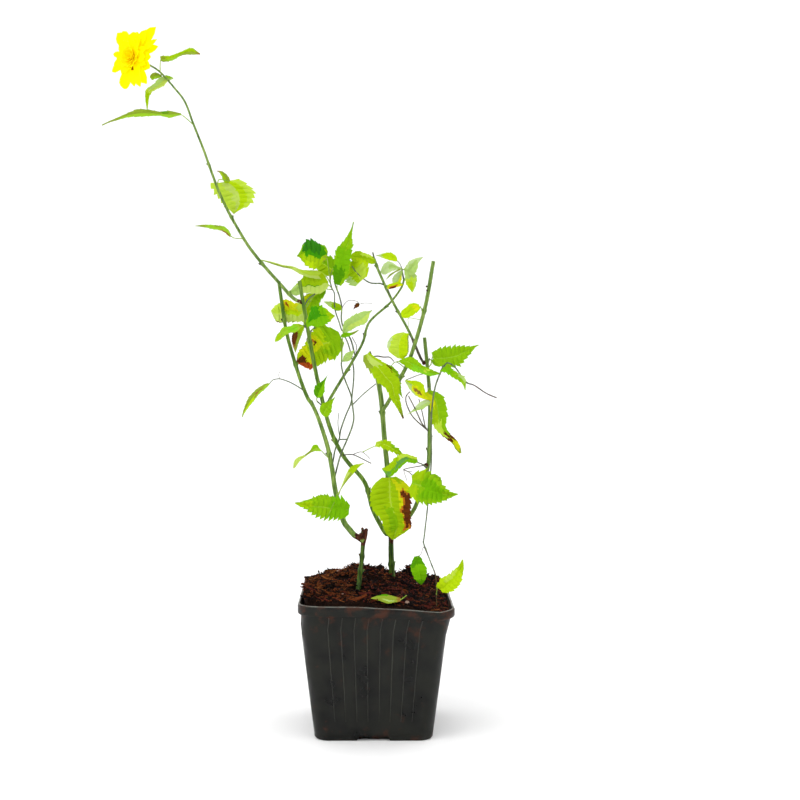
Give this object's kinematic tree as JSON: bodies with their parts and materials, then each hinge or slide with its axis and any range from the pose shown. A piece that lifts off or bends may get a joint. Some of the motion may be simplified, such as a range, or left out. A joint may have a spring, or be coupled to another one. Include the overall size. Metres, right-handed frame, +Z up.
{
  "type": "potted kerria",
  "caption": "Young kerria shrub with bare green canes, sparse toothed leaves and a yellow double flower, in a tapered square nursery pot.",
  "frame": {"origin": "centre of the pot's flat underside, where it stands", "axes": "+Z up, +X to the right as seen from the front, -Y towards the viewer; the flowering shoot leans towards -X"},
  "size_m": [0.2296, 0.09, 0.4163],
  "materials": {
    "pot": "moulded black nursery plastic with a low sheen",
    "soil": "moist fibrous bark compost, rough",
    "cane": "smooth green bark with brown knuckles",
    "foliage": "thin leaves and petals, softly glossy above, matte below"
  },
  "bodies": {
    "root": {"pot": "pot", "soil": "soil", "stem_left_foot": "cane", "stem_mid_foot": "cane", "cane_left": "cane", "cane_left_side": "cane", "cane_mid": "cane", "flower_shoot": "cane", "curved_side_cane": "cane", "cane_back": "cane", "cane_back_side": "cane", "cane_right": "cane", "cane_right_side": "cane", "thin_shoot": "cane", "thin_shoot_tip": "cane", "flower_spray": "foliage", "shoot_leaf_high": "foliage", "shoot_leaf_low": "foliage", "crown_left_spray": "foliage", "mid_top_spray": "foliage", "mid_upper_spray": "foliage", "thin_left_spray": "foliage", "thin_back_shoot": "foliage", "mid_lower_spray": "foliage", "dry_twiglet": "foliage", "side_left_leaf": "foliage", "left_mid_leaf": "foliage", "left_low_spray": "foliage", "curved_tip_spray": "foliage", "right_side_tip_spray": "foliage", "right_side_high_leaf": "foliage", "right_side_mid_leaf": "foliage", "back_side_high_leaf": "foliage", "back_side_low_leaf": "foliage", "back_top_leaf": "foliage", "back_low_leaf": "foliage", "right_top_leaf": "foliage", "right_upper_spray": "foliage", "right_twiglets": "foliage", "right_low_spray": "foliage", "thin_shoot_leaf": "foliage", "thin_shoot_low_leaf": "foliage", "sprout_leaf": "foliage", "low_rear_leaf": "foliage", "top_rear_leaf": "foliage", "mid_rear_leaf": "foliage", "right_rear_leaf": "foliage", "left_rear_leaf": "foliage", "right_top_rear_leaf": "foliage", "fallen_leaf": "foliage"}
  },
  "joints": []
}
